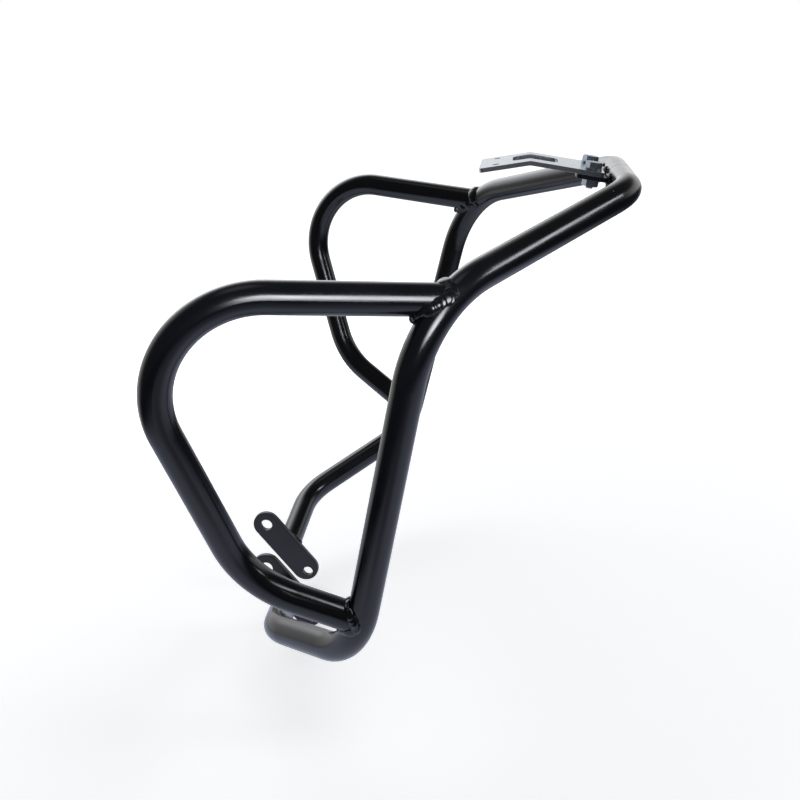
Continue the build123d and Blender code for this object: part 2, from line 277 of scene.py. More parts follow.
class CrashBarSettings(bpy.types.PropertyGroup):
    """All settings of the crash bars."""

    coat: PointerProperty(type=CoatSettings, name="Powder coat", description="Black powder coat")
    zinc: PointerProperty(type=ZincSettings, name="Zinc plate", description="Bright zinc plate")
    bead: PointerProperty(type=BeadSettings, name="Weld beads", description="Weld beads")
    edge: PointerProperty(type=EdgeSettings, name="Edges", description="Rounded edges")
    thread: PointerProperty(type=ThreadSettings, name="Thread", description="Bolt thread")
    stage: PointerProperty(type=StageSettings, name="Stage", description="Studio")


# Materials

# Noise keeps mostly between these values
NOISE_SPAN = (0.3, 0.7)
# Over this width the powder coat's thickness drifts, which changes its tone and its roughness a little
DRIFT_WIDTH = 38 * MM
DRIFT_ROUGHNESS = (-0.04, 0.05)
# Radius of a speck of dust as a share of its cell, and the random tone over which a cell has one
SPECK_RADIUS = 0.045
SPECK_TONE = 0.86
# Height of the powder's grain on the tubes, on the welds and on flat bar
TUBE_GRAIN = 0.001 * MM
WELD_GRAIN = 0.006 * MM
BAR_GRAIN = 0.008 * MM
COAT_IOR = 1.5
# Clots of the dark, matt ring in the seam, whose darkness is painted shade of the gap there
CLOT_WIDTH = 0.8 * MM
CLOT_HEIGHT = 0.05 * MM
SEAM_SHADE_ROUGHNESS = 0.9
# Zinc: cloudy patches, fine lines, and how much of it acts as metal rather than as a pale film
CLOUD_WIDTH = 9 * MM
LINE_HEIGHT = 0.0012 * MM
LINE_ROUGHNESS = (-0.03, 0.05)
METAL_SHARE = 0.86
# How much longer a rolling line is than wide
ROLLING_STRETCH = 16


def add_node(tree, kind, inputs=None, **settings):
    """Adds a node with its settings. Each input, named by its identifier, takes a value or a socket."""
    node = tree.nodes.new(kind)
    for name, value in settings.items():
        setattr(node, name, value)
    sockets = {socket.identifier: socket for socket in node.inputs}
    for name, value in (inputs or {}).items():
        if isinstance(value, bpy.types.NodeSocket):
            tree.links.new(value, sockets[name])
        else:
            sockets[name].default_value = value
    return node


def new_material(name):
    """A material with its node tree, which holds only the object coordinates that its patterns follow."""
    material = bpy.data.materials.new(name)
    material.use_nodes = True
    tree = material.node_tree
    tree.nodes.clear()
    place = add_node(tree, "ShaderNodeTexCoord").outputs["Object"]
    return material, tree, place


def opaque(colour):
    """A colour with full alpha."""
    return (*colour, 1.0)


def powder_coat(name, coat, roughness, grain_height):
    """Black powder coat, sprayed and baked on steel.

    It is deep and softly glossy, with a faint orange peel, a fine powder grain and rare specks of dust.
    """
    material, tree, place = new_material(name)
    drift = add_node(
        tree, "ShaderNodeTexNoise", {"Vector": place, "Scale": 1 / DRIFT_WIDTH, "Detail": 3}).outputs["Fac"]
    tone = add_node(
        tree, "ShaderNodeMix", {
            "Factor_Float": drift, "A_Color": opaque(coat.colour), "B_Color": opaque(coat.thin_colour)},
        data_type="RGBA").outputs[MIXED_COLOUR]
    gloss = add_node(
        tree, "ShaderNodeMapRange", {
            "Value": drift, "From Min": NOISE_SPAN[0], "From Max": NOISE_SPAN[1],
            "To Min": roughness + DRIFT_ROUGHNESS[0],
            "To Max": roughness + DRIFT_ROUGHNESS[1]}).outputs["Result"]
    # Dust: a speck sits at the middle of a few of the cells
    cell = add_node(tree, "ShaderNodeTexVoronoi", {"Vector": place, "Scale": 1 / coat.dust_spacing})
    near = add_node(
        tree, "ShaderNodeMath", {"Value": cell.outputs["Distance"], "Value_001": SPECK_RADIUS},
        operation="LESS_THAN")
    chosen = add_node(
        tree, "ShaderNodeMath", {"Value": cell.outputs["Color"], "Value_001": SPECK_TONE},
        operation="GREATER_THAN")
    speck = add_node(
        tree, "ShaderNodeMath", {"Value": near.outputs[0], "Value_001": chosen.outputs[0]},
        operation="MULTIPLY")
    colour = add_node(
        tree, "ShaderNodeMix", {
            "Factor_Float": speck.outputs[0], "A_Color": tone, "B_Color": opaque(coat.dust_colour)},
        data_type="RGBA").outputs[MIXED_COLOUR]
    # Orange peel under fine powder grain
    peel = add_node(
        tree, "ShaderNodeTexNoise", {
            "Vector": place, "Scale": 1 / coat.peel_width, "Detail": 1}).outputs["Fac"]
    grain = add_node(
        tree, "ShaderNodeTexNoise", {
            "Vector": place, "Scale": 1 / coat.grain_width, "Detail": 2}).outputs["Fac"]
    waves = add_node(
        tree, "ShaderNodeBump", {"Distance": coat.peel_height, "Height": peel}).outputs["Normal"]
    normal = add_node(
        tree, "ShaderNodeBump", {
            "Distance": grain_height, "Height": grain, "Normal": waves}).outputs["Normal"]
    shader = add_node(
        tree, "ShaderNodeBsdfPrincipled", {
            "Base Color": colour, "Roughness": gloss, "IOR": COAT_IOR, "Normal": normal})
    add_node(tree, "ShaderNodeOutputMaterial", {"Surface": shader.outputs["BSDF"]})
    return material


def painted_seam_shade(coat):
    """Dark, matt ring in the seam between the tubes, which mirrors nothing: painted shade of the gap there.
    """
    material, tree, place = new_material("painted seam shade")
    clots = add_node(
        tree, "ShaderNodeTexNoise", {"Vector": place, "Scale": 1 / CLOT_WIDTH, "Detail": 2}).outputs["Fac"]
    colour = add_node(
        tree, "ShaderNodeMix", {
            "Factor_Float": clots, "A_Color": opaque(coat.colour), "B_Color": opaque(coat.thin_colour)},
        data_type="RGBA").outputs[MIXED_COLOUR]
    normal = add_node(tree, "ShaderNodeBump", {"Distance": CLOT_HEIGHT, "Height": clots}).outputs["Normal"]
    # No mirroring at all, so that the ring shows as painted shade of the gap in the seam
    shader = add_node(
        tree, "ShaderNodeBsdfPrincipled", {
            "Base Color": colour, "Roughness": SEAM_SHADE_ROUGHNESS, "Specular IOR Level": 0.0,
            "Normal": normal})
    add_node(tree, "ShaderNodeOutputMaterial", {"Surface": shader.outputs["BSDF"]})
    return material


def zinc_plate(name, bright, dull, edge, roughness, grain):
    """Bright zinc, plated on rolled or turned steel.

    It is a pale, slightly blue metal with cloudy duller patches, and mirrors less at a low angle, by the
    edge tint. The grain vector gives the size of its fine lines along each axis.
    """
    material, tree, place = new_material(name)
    cloud = add_node(
        tree, "ShaderNodeTexNoise", {"Vector": place, "Scale": 1 / CLOUD_WIDTH, "Detail": 4}).outputs["Fac"]
    colour = add_node(
        tree, "ShaderNodeMix", {
            "Factor_Float": cloud, "A_Color": opaque(bright), "B_Color": opaque(dull)},
        data_type="RGBA").outputs[MIXED_COLOUR]
    stretched = add_node(
        tree, "ShaderNodeMapping", {
            "Vector": place, "Scale": [1 / size for size in grain]}).outputs["Vector"]
    lines = add_node(
        tree, "ShaderNodeTexNoise", {"Vector": stretched, "Scale": 1.0, "Detail": 3}).outputs["Fac"]
    gloss = add_node(
        tree, "ShaderNodeMapRange", {
            "Value": lines, "From Min": NOISE_SPAN[0], "From Max": NOISE_SPAN[1],
            "To Min": roughness + LINE_ROUGHNESS[0],
            "To Max": roughness + LINE_ROUGHNESS[1]}).outputs["Result"]
    normal = add_node(
        tree, "ShaderNodeBump", {"Distance": LINE_HEIGHT, "Height": lines}).outputs["Normal"]
    shader = add_node(
        tree, "ShaderNodeBsdfPrincipled", {
            "Base Color": colour, "Metallic": METAL_SHARE, "Roughness": gloss, "Normal": normal,
            "Specular Tint": opaque(edge)})
    add_node(tree, "ShaderNodeOutputMaterial", {"Surface": shader.outputs["BSDF"]})
    return material


# Pieces

# Weight of large faces in a weighted normal, the most that there is
FLAT_WEIGHT = 100
# Corners of the bracket's sheet lie this close to its front or rear end
CORNER_REACH = 2 * MM


def merged_mesh(node):
    """A copy of a CAD node's mesh, with its loose triangles merged."""
    mesh = bmesh.new()
    mesh.from_mesh(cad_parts[node].data)
    bmesh.ops.remove_doubles(mesh, verts=mesh.verts, dist=MERGE_DISTANCE)
    return mesh


def link_mesh(name, mesh, material):
    """Puts a mesh into the scene as an object."""
    data = bpy.data.meshes.new(name)
    mesh.to_mesh(data)
    mesh.free()
    data.materials.append(material)
    thing = bpy.data.objects.new(name, data)
    bpy.context.scene.collection.objects.link(thing)
    return thing


def new_piece(name, mesh, material, slot, *nodes):
    """Makes a smooth shaded piece, which stands for the CAD nodes given, if any."""
    for face in mesh.faces:
        face.smooth = True
    piece = link_mesh(name, mesh, material)
    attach(piece, BODY)
    if nodes:
        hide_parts(*nodes)
    return piece


def flat_shaded(piece):
    """Lets large flat faces keep their own normals beside rounded edges."""
    weigh = piece.modifiers.new("flat faces", "WEIGHTED_NORMAL")
    weigh.weight = FLAT_WEIGHT


def sharp_edges(mesh):
    """Edges of a merged CAD mesh that are real edges."""
    return [edge for edge in mesh.edges if edge.is_manifold and edge.calc_face_angle() > SHARP_ANGLE]


def join_flat_faces(mesh):
    """Joins the triangles of a merged CAD mesh into its flat faces."""
    bmesh.ops.dissolve_limit(mesh, angle_limit=FLAT_ANGLE, verts=mesh.verts, edges=mesh.edges)


def round_edges(mesh, edges, radius, segments):
    """Rounds some edges of a mesh."""
    bmesh.ops.bevel(
        mesh, geom=edges, offset=radius, affect="EDGES", segments=segments, profile=0.5, material=-1,
        clamp_overlap=True)


def ease_edges(mesh, radius, segments):
    """Rounds the real edges of a merged CAD mesh."""
    join_flat_faces(mesh)
    round_edges(mesh, sharp_edges(mesh), radius, segments)


def round_corners(mesh, radius, segments):
    """Rounds the four outer corners of the bracket's sheet, as seen from above."""
    join_flat_faces(mesh)
    ends = [limit(corner.co.x for corner in mesh.verts) for limit in (min, max)]
    reach = max(corner.co.y for corner in mesh.verts)

    def at_corner(corner):
        near_end = min(abs(corner.co.x - end) for end in ends) < CORNER_REACH
        return near_end and abs(abs(corner.co.y) - reach) < MERGE_DISTANCE

    upright = [edge for edge in mesh.edges if all(at_corner(corner) for corner in edge.verts)]
    round_edges(mesh, upright, radius, segments)


def eased_piece(node, mesh, radius, segments, material, slot):
    """Makes a piece that stands for a CAD node, with its real edges rounded."""
    ease_edges(mesh, radius, segments)
    flat_shaded(new_piece(f"{node}_eased", mesh, material, slot, node))


def finish_node(node, material):
    """Gives a CAD node that stays in view its finish."""
    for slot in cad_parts[node].material_slots:
        slot.material = material


# Weld beads

# How far round a weld's box its seam may lie
SEAM_SLACK = 0.5 * MM
# How far ripples stray along the seam, as a share of their pitch, and across it, as a share of the leg
STRAY_ALONG = 0.35
STRAY_ACROSS = 0.12
# A ripple's middle and its half height, as shares of the corner's depth between the toes
RIPPLE_SEAT = 0.75
RIPPLE_RISE = 0.25
# Smoothing of the melted bead
FLOW_FACTOR = 0.5
FLOW_ROUNDS = 8


def seam_runs(mesh, low, high):
    """Closed runs of real edges inside a box, each a list of corners in order."""
    def inside(corner):
        return all(low[axis] <= corner.co[axis] <= high[axis] for axis in range(3))

    edges = [edge for edge in sharp_edges(mesh) if all(inside(corner) for corner in edge.verts)]
    beside = {}
    for edge in edges:
        for corner in edge.verts:
            beside.setdefault(corner, []).append(edge)
    used = set()
    runs = []
    for edge in edges:
        if edge in used:
            continue
        used.add(edge)
        run = list(edge.verts)
        while run[-1] != run[0]:
            onward = [other for other in beside[run[-1]] if other not in used]
            if not onward:
                break
            used.add(onward[0])
            run.append(onward[0].other_vert(run[-1]))
        if run[-1] == run[0]:
            runs.append(run[:-1])
    return runs


def run_length(run):
    """Length of a closed run of corners."""
    return sum((corner.co - run[place - 1].co).length for place, corner in enumerate(run))


def seam_stations(part, carrier, weld, pitch):
    """Even stations along the seam where a part's end meets its carrier.

    Each station is a point with the outward normals of the part and of the carrier there.
    """
    slack = Vector((1, 1, 1)) * SEAM_SLACK
    low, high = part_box(weld)
    mesh = merged_mesh(part)
    runs = seam_runs(mesh, low - slack, high + slack)
    if not runs:
        raise RuntimeError(f"{part} has no closed seam inside {weld}")
    run = max(runs, key=run_length)
    ground = merged_mesh(carrier)
    surface = BVHTree.FromBMesh(ground)
    corners = []
    for corner in run:
        under = surface.find_nearest(corner.co)[1]
        own = max((face.normal for face in corner.link_faces), key=under.dot)
        corners.append((corner.co.copy(), own.copy(), under))
    count = max(3, round(run_length(run) / pitch))
    step = run_length(run) / count
    mesh.free()
    ground.free()
    stations = []
    travelled = 0.0
    for start, finish in zip(corners, corners[1:] + corners[:1]):
        length = (finish[0] - start[0]).length
        while len(stations) < count and len(stations) * step < travelled + length:
            share = (len(stations) * step - travelled) / length
            stations.append([a.lerp(b, share) for a, b in zip(start, finish)])
        travelled += length
    return stations


def lay_bead(name, part, carrier, weld, leg, bead, material, seed):
    """A weld bead: leaning ripples along a seam, melted into one skin.

    Each ripple spans the corner from toe to toe, so the bead is low and wide on a flat seam and fills a
    tight one.
    """
    draw = random.Random(seed)
    stations = seam_stations(part, carrier, weld, bead.ripple_pitch)
    mesh = bmesh.new()
    for place, (point, own, under) in enumerate(stations):
        following = stations[(place + 1) % len(stations)][0]
        along = (following - stations[place - 1][0]).normalized()
        out = (own + under).normalized()
        across = out.cross(along).normalized()
        out = along.cross(across)
        half_corner = own.angle(under) / 2
        reach = leg * (1 + draw.uniform(-1, 1) * bead.unevenness)
        bulge = bead.crown * (1 + draw.uniform(-1, 1) * bead.unevenness)
        chord = reach * math.sin(half_corner)
        stray = along * draw.uniform(-STRAY_ALONG, STRAY_ALONG) * bead.ripple_pitch
        stray += across * draw.uniform(-STRAY_ACROSS, STRAY_ACROSS) * leg
        centre = point + out * RIPPLE_SEAT * chord + stray
        half_width = reach * math.cos(half_corner) + bulge / 2
        basis = Matrix((along, across, out)).transposed().to_4x4()
        lean = Matrix.Rotation(-bead.ripple_lean, 4, "Y")
        scale = Matrix.Diagonal((
            bead.ripple_pitch * bead.ripple_length, half_width, RIPPLE_RISE * chord + bulge, 1))
        matrix = Matrix.Translation(centre) @ basis @ lean @ scale
        bmesh.ops.create_icosphere(mesh, subdivisions=3, radius=1, matrix=matrix)
    piece = new_piece(name, mesh, material, "weld_black", weld)
    melt = piece.modifiers.new("melt", "REMESH")
    melt.mode = "VOXEL"
    melt.voxel_size = bead.voxel
    melt.use_smooth_shade = True
    flow = piece.modifiers.new("flow", "SMOOTH")
    flow.factor = FLOW_FACTOR
    flow.iterations = FLOW_ROUNDS
    keep_result(piece)


def keep_result(piece):
    """Makes a piece's modifiers part of its mesh."""
    bpy.context.view_layer.update()
    graph = bpy.context.evaluated_depsgraph_get()
    rough = piece.data
    piece.data = bpy.data.meshes.new_from_object(piece.evaluated_get(graph))
    piece.data.name = piece.name
    piece.modifiers.clear()
    bpy.data.meshes.remove(rough)


# Fasteners

# One turn of the thread: depth from root (0) to crest (1), and place along the pitch
THREAD_TURN = ((0, 0), (0, 0.13), (1, 0.44), (1, 0.56), (0, 0.87), (0, 1))
# Length of a bolt's tapered point, and its end as a share of the thread's root
POINT_LENGTH = 0.4 * MM
POINT_TAPER = 0.9
# The shank runs this far into the head, and the head is cut off this far over the washer
SHANK_OVERLAP = 0.2 * MM
HEAD_CUT = 0.02 * MM


def bracket_up():
    """Direction out of the bracket's sloped face, along the bolts: that of the washers' largest face."""
    largest = max(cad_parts["bracket_washers"].data.polygons, key=lambda face: face.area)
    return largest.normal if largest.normal.z > 0 else -largest.normal


def bolt_frames():
    """Each bolt's frame: its origin on the washer's top face, Z up the bolt."""
    up = bracket_up()
    corners = [corner.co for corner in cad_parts["bracket_washers"].data.vertices]
    across = Vector((0, 1, 0))
    forward = across.cross(up)
    frames = []
    for side in (-1, 1):
        own = [corner for corner in corners if corner.y * side > 0]
        spread = [[corner.dot(axis) for corner in own] for axis in (forward, across)]
        middle = [(min(values) + max(values)) / 2 for values in spread]
        top = max(corner.dot(up) for corner in own)
        basis = Matrix((forward, across, up)).transposed().to_4x4()
        basis.translation = forward * middle[0] + across * middle[1] + up * top
        frames.append(basis)
    return frames


def bolt_reach(bolt_frame):
    """How far a bolt reaches below its head."""
    inverse = bolt_frame.inverted()
    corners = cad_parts["bracket_bolts"].data.vertices
    return -min((inverse @ corner.co).z for corner in corners)


def cut_across(mesh, place, normal, **cleared):
    """Cuts a mesh at a plane and clears one side of it."""
    everything = mesh.verts[:] + mesh.edges[:] + mesh.faces[:]
    bmesh.ops.bisect_plane(mesh, geom=everything, plane_co=place, plane_no=normal, **cleared)


def cut_thread(mesh, bolt_frame, reach, thread):
    """Adds a bolt's threaded shank and its tapered point."""
    crest = thread.diameter / 2
    root = crest - thread.depth
    turns = math.ceil((reach - POINT_LENGTH) / thread.pitch)
    start = POINT_LENGTH - reach
    corners = []
    for on_crest, share in THREAD_TURN:
        radius = crest if on_crest else root
        corners.append(mesh.verts.new((radius, 0, start + share * thread.pitch)))
    edges = [mesh.edges.new(pair) for pair in zip(corners, corners[1:])]
    bmesh.ops.spin(
        mesh, geom=corners + edges, cent=(0, 0, 0), axis=(0, 0, 1), angle=turns * math.tau,
        steps=turns * thread.steps, dvec=(0, 0, thread.pitch / thread.steps), use_merge=False)
    bmesh.ops.remove_doubles(mesh, verts=mesh.verts, dist=MERGE_DISTANCE)
    cut_across(mesh, (0, 0, SHANK_OVERLAP), (0, 0, 1), clear_outer=True)
    below = Matrix.Translation((0, 0, start + thread.pitch / 2 - POINT_LENGTH))
    bmesh.ops.create_cone(
        mesh, cap_ends=True, segments=thread.steps, radius1=root * POINT_TAPER, radius2=root,
        depth=2 * POINT_LENGTH + thread.pitch, matrix=below)
    bmesh.ops.recalc_face_normals(mesh, faces=mesh.faces)
    bmesh.ops.transform(mesh, matrix=bolt_frame, verts=mesh.verts)


def bolt_heads(edge):
    """The bolts' heads alone, cut off just above the washers."""
    up = bracket_up()
    mesh = merged_mesh("bracket_bolts")
    cut_across(mesh, bolt_frames()[0].translation + up * HEAD_CUT, up, clear_inner=True)
    bmesh.ops.holes_fill(mesh, edges=[one for one in mesh.edges if one.is_boundary], sides=0)
    ease_edges(mesh, edge.fastener, edge.segments)
    return mesh


# Seam

# The ring in the seam: faces across and around it, and its middle's depth as a share of its thickness
RING_SIDES = 10
RING_STEPS = 72
RING_DEPTH = 0.42


def seam_end(side):
    """Centre of a main tube's end at the front seam, and its outer radius."""
    corners = [corner.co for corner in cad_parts[f"{side}_main_tube"].data.vertices]
    nearest = min(abs(corner.y) for corner in corners)
    rim = [corner for corner in corners if abs(corner.y) < nearest + MERGE_DISTANCE]
    low = Vector(min(corner[axis] for corner in rim) for axis in range(3))
    high = Vector(max(corner[axis] for corner in rim) for axis in range(3))
    return (low + high) / 2, (high.x - low.x) / 2


def seam_ring(line):
    """Ring of thick coat that fills the seam between the two main tubes, dark with painted shade of the
    gap.
    """
    right, radius = seam_end("right")
    left = seam_end("left")[0]
    middle = (right + left) / 2
    mesh = bmesh.new()
    edge = bmesh.ops.create_circle(mesh, segments=RING_SIDES, radius=line / 2)["verts"]
    bmesh.ops.translate(mesh, verts=edge, vec=(radius - line * RING_DEPTH, 0, 0))
    bmesh.ops.spin(
        mesh, geom=mesh.verts[:] + mesh.edges[:], cent=(0, 0, 0), axis=(0, 1, 0), angle=math.tau,
        steps=RING_STEPS, use_merge=True)
    bmesh.ops.recalc_face_normals(mesh, faces=mesh.faces)
    bmesh.ops.translate(mesh, verts=mesh.verts, vec=middle)
    return mesh


# Operators

class CRASHBARS_OT_coat_tubes(bpy.types.Operator):
    """Powder coat the main tubes and the hoops"""

    bl_idname = "crash_bars.coat_tubes"
    bl_label = "Coat Tubes"

    def execute(self, context):
        coat = context.scene.crash_bars.coat
        material = powder_coat("tube powder coat", coat, coat.roughness, TUBE_GRAIN)
        for side in SIDES:
            finish_node(f"{side}_main_tube", material)
            finish_node(f"{side}_hoop_tube", material)
        return {"FINISHED"}


class CRASHBARS_OT_fill_seam(bpy.types.Operator):
    """Fill the seam where the two main tubes meet"""

    bl_idname = "crash_bars.fill_seam"
    bl_label = "Fill Seam"

    def execute(self, context):
        settings = context.scene.crash_bars
        # The seam ring's dark, matt material is painted shade of the gap between the tubes
        material = painted_seam_shade(settings.coat)
        new_piece("seam_ring", seam_ring(settings.edge.seam), material, "powder_black")
        return {"FINISHED"}


class CRASHBARS_OT_lay_welds(bpy.types.Operator):
    """Lay the weld beads of the hoops, mount plates and bracket tabs"""

    bl_idname = "crash_bars.lay_welds"
    bl_label = "Lay Welds"

    def execute(self, context):
        settings = context.scene.crash_bars
        bead = settings.bead
        material = powder_coat("weld powder coat", settings.coat, settings.coat.roughness, WELD_GRAIN)
        for place, side in enumerate(SIDES):
            joints = (
                ("upper_weld", "hoop_tube", "main_tube", bead.upper_leg),
                ("lower_weld", "hoop_tube", "main_tube", bead.lower_leg),
                ("plate_weld", "main_tube", "mount_plate", bead.plate_leg),
                ("tab_weld", "bracket_tab", "main_tube", bead.tab_leg),
            )
            for number, (weld, part, carrier, leg) in enumerate(joints):
                seed = bead.seed + place * len(joints) + number
                lay_bead(
                    f"{side}_{weld}_bead", f"{side}_{part}", f"{side}_{carrier}", f"{side}_{weld}",
                    leg, bead, material, seed)
        return {"FINISHED"}


class CRASHBARS_OT_ease_plates(bpy.types.Operator):
    """Ease and coat the mount plates and the bracket tabs"""

    bl_idname = "crash_bars.ease_plates"
    bl_label = "Ease Plates"

    def execute(self, context):
        settings = context.scene.crash_bars
        edge = settings.edge
        coat = settings.coat
        material = powder_coat("flat bar powder coat", coat, coat.plate_roughness, BAR_GRAIN)
        for side in SIDES:
            for node in (f"{side}_mount_plate", f"{side}_bracket_tab"):
                eased_piece(node, merged_mesh(node), edge.plate, edge.segments, material, "powder_black")
        return {"FINISHED"}


class CRASHBARS_OT_plate_bracket(bpy.types.Operator):
    """Ease the front bracket's sheared edges and plate it with zinc"""

    bl_idname = "crash_bars.plate_bracket"
    bl_label = "Plate Bracket"

    def execute(self, context):
        settings = context.scene.crash_bars
        zinc = settings.zinc
        edge = settings.edge
        # Rolling lines run along the bike
        grain = (ROLLING_STRETCH * zinc.grain_width, zinc.grain_width, zinc.grain_width)
        material = zinc_plate(
            "bright zinc sheet", zinc.colour, zinc.dull_colour, zinc.edge_tint, zinc.roughness, grain)
        mesh = merged_mesh("front_bracket")
        round_corners(mesh, edge.corner, 2 * edge.segments)
        eased_piece("front_bracket", mesh, edge.bracket, edge.segments, material, "bright_zinc")
        return {"FINISHED"}


class CRASHBARS_OT_fit_fasteners(bpy.types.Operator):
    """Fit the threaded bolts, washers and nuts of the bracket"""

    bl_idname = "crash_bars.fit_fasteners"
    bl_label = "Fit Fasteners"

    def execute(self, context):
        settings = context.scene.crash_bars
        zinc = settings.zinc
        edge = settings.edge
        grain = (zinc.grain_width, zinc.grain_width, zinc.grain_width)
        material = zinc_plate(
            "blue zinc fastener", zinc.dull_colour, zinc.blue_colour, zinc.edge_tint,
            zinc.fastener_roughness, grain)
        for node in ("bracket_washers", "bracket_nuts"):
            eased_piece(node, merged_mesh(node), edge.fastener, edge.segments, material, "bright_zinc")
        bolts = bolt_heads(edge)
        for bolt_frame in bolt_frames():
            shank = bmesh.new()
            cut_thread(shank, bolt_frame, bolt_reach(bolt_frame), settings.thread)
            spare = bpy.data.meshes.new("shank")
            shank.to_mesh(spare)
            shank.free()
            bolts.from_mesh(spare)
            bpy.data.meshes.remove(spare)
        flat_shaded(new_piece("bracket_bolts_threaded", bolts, material, "bright_zinc", "bracket_bolts"))
        return {"FINISHED"}


# Stage

def bearing(azimuth, elevation):
    """Unit direction from its angles in degrees: azimuth from the front of the bike towards its left."""
    turn, climb = math.radians(azimuth), math.radians(elevation)
    return Vector((math.cos(climb) * math.cos(turn), math.cos(climb) * math.sin(turn), math.sin(climb)))


# The white backdrop stands behind the object as the camera sees it, and a pale wall before the bike. Each
# sets in between two cosines of a direction to its side, and so does the white floor before the backdrop.
BACKDROP_SIDE = bearing(125, 0)
BACKDROP_COSINES = (0.45, 0.90)
FLOOR_COSINES = (0.2, 0.8)
FRONT_WALL_SIDE = bearing(62, 0)
FRONT_WALL_COSINES = (0.6, 0.85)
# Heights on the unit sphere over which the backdrop and the wall fade out, and the pale ceiling sets in
BACKDROP_TOP = (0.60, 0.93)
FRONT_WALL_TOP = (0.22, 0.42)
CEILING_RIM = (0.955, 0.99)
CEILING_LIGHT = 0.6
# As the coat mirrors it, the floor has a pool of light: its middle, its reach and its brightness
POOL_MIDDLE = (-0.20, -0.15)
POOL_REACH = (0.45, 0.95)
POOL_LIGHT = (1.1, 0.05)
# The camera's own shade on the floor: its middle, its reach and its brightness
CAMERA_SHADE = (-0.03, -0.68)
SHADE_REACH = (0.08, 0.25)
SHADE_LIGHT = (0.5, 1.0)
# Over this distance from the object the floor before the backdrop turns white
CLEAR_REACH = (0.65, 1.1)
# Far from the object no shadow falls, so over this distance the paint glows up to white by itself
GLOW_REACH = (0.40, 1.30)
# What the lamps face: the hoop's upper run, the front tube and the hoop's lower run
HOOP_TOP = Vector((-0.11, -0.275, -0.05))
FRONT_TUBE = Vector((0.03, -0.19, -0.045))
HOOP_FOOT = Vector((-0.16, -0.27, -0.29))
LAMP_COLOUR = linear("#F4F8FF")
WHITE = opaque(linear("#FFFFFF"))
# Width of the camera's frame in millimetres
SENSOR_WIDTH = 36.0


def level_share(tree, direction, side, cosines):
    """How far a direction, seen from above, turns to a side: from none to all between two cosines."""
    level = add_node(
        tree, "ShaderNodeVectorMath", {"Vector": direction, "Vector_001": (1, 1, 0)}, operation="MULTIPLY")
    unit = add_node(tree, "ShaderNodeVectorMath", {"Vector": level.outputs[0]}, operation="NORMALIZE")
    share = add_node(
        tree, "ShaderNodeVectorMath", {"Vector": unit.outputs[0], "Vector_001": side},
        operation="DOT_PRODUCT")
    return add_node(
        tree, "ShaderNodeMapRange", {
            "Value": share.outputs["Value"], "From Min": cosines[0], "From Max": cosines[1]},
        interpolation_type="SMOOTHSTEP").outputs["Result"]


def wall_share(tree, direction, height, side, cosines, top):
    """How much of a wall lies in a direction. It fades out at its sides and over its top."""
    facing = level_share(tree, direction, side, cosines)
    under_top = add_node(
        tree, "ShaderNodeMapRange", {
            "Value": height, "From Min": top[0], "From Max": top[1], "To Min": 1.0, "To Max": 0.0},
        interpolation_type="SMOOTHSTEP").outputs["Result"]
    return add_node(
        tree, "ShaderNodeMath", {"Value": facing, "Value_001": under_top}, operation="MULTIPLY").outputs[0]


def seen_directly(tree, rays):
    """One for rays that go to the camera straight or through a clear thing, and nought for others."""
    return add_node(
        tree, "ShaderNodeMath", {
            "Value": rays["Is Camera Ray"], "Value_001": rays["Is Transmission Ray"]},
        operation="MAXIMUM").outputs[0]


def white_room(stage):
    """The world: white for the camera, a dim room with pale walls in reflections, and even light."""
    world = bpy.data.worlds.new("white room")
    world.use_nodes = True
    tree = world.node_tree
    tree.nodes.clear()
    rays = add_node(tree, "ShaderNodeLightPath").outputs
    direction = add_node(tree, "ShaderNodeTexCoord").outputs["Generated"]
    height = add_node(tree, "ShaderNodeSeparateXYZ", {"Vector": direction}).outputs["Z"]
    # The backdrop reaches high, the front wall only a little over the horizon, and the ceiling is pale
    backdrop = wall_share(tree, direction, height, BACKDROP_SIDE, BACKDROP_COSINES, BACKDROP_TOP)
    wall = wall_share(tree, direction, height, FRONT_WALL_SIDE, FRONT_WALL_COSINES, FRONT_WALL_TOP)
    overhead = add_node(
        tree, "ShaderNodeMapRange", {
            "Value": height, "From Min": CEILING_RIM[0], "From Max": CEILING_RIM[1],
            "To Min": 0.0, "To Max": CEILING_LIGHT},
        interpolation_type="SMOOTHSTEP").outputs["Result"]
    upright = add_node(
        tree, "ShaderNodeMath", {"Value": backdrop, "Value_001": wall}, operation="MAXIMUM").outputs[0]
    walls = add_node(
        tree, "ShaderNodeMath", {"Value": upright, "Value_001": overhead}, operation="MAXIMUM").outputs[0]
    mirrored = add_node(
        tree, "ShaderNodeMapRange", {
            "Value": walls, "To Min": stage.dim_room, "To Max": 1.0}).outputs["Result"]
    lit = add_node(
        tree, "ShaderNodeMix", {
            "Factor_Float": rays["Is Glossy Ray"], "A_Float": stage.ambient,
            "B_Float": mirrored}).outputs[0]
    strength = add_node(
        tree, "ShaderNodeMix", {
            "Factor_Float": seen_directly(tree, rays), "A_Float": lit, "B_Float": 1.0}).outputs[0]
    background = add_node(tree, "ShaderNodeBackground", {"Color": WHITE, "Strength": strength})
    add_node(tree, "ShaderNodeOutputWorld", {"Surface": background.outputs[0]})
    bpy.context.scene.world = world


def floor_light(tree, place, middle, reach, light):
    """Brightness of the floor about a spot, which changes over a reach from the spot's middle."""
    away = add_node(
        tree, "ShaderNodeVectorMath", {"Vector": place, "Vector_001": (*middle, CAD_BOX[0][2])},
        operation="DISTANCE").outputs["Value"]
    return add_node(
        tree, "ShaderNodeMapRange", {
            "Value": away, "From Min": reach[0], "From Max": reach[1],
            "To Min": light[0], "To Max": light[1]},
        interpolation_type="SMOOTHSTEP").outputs["Result"]


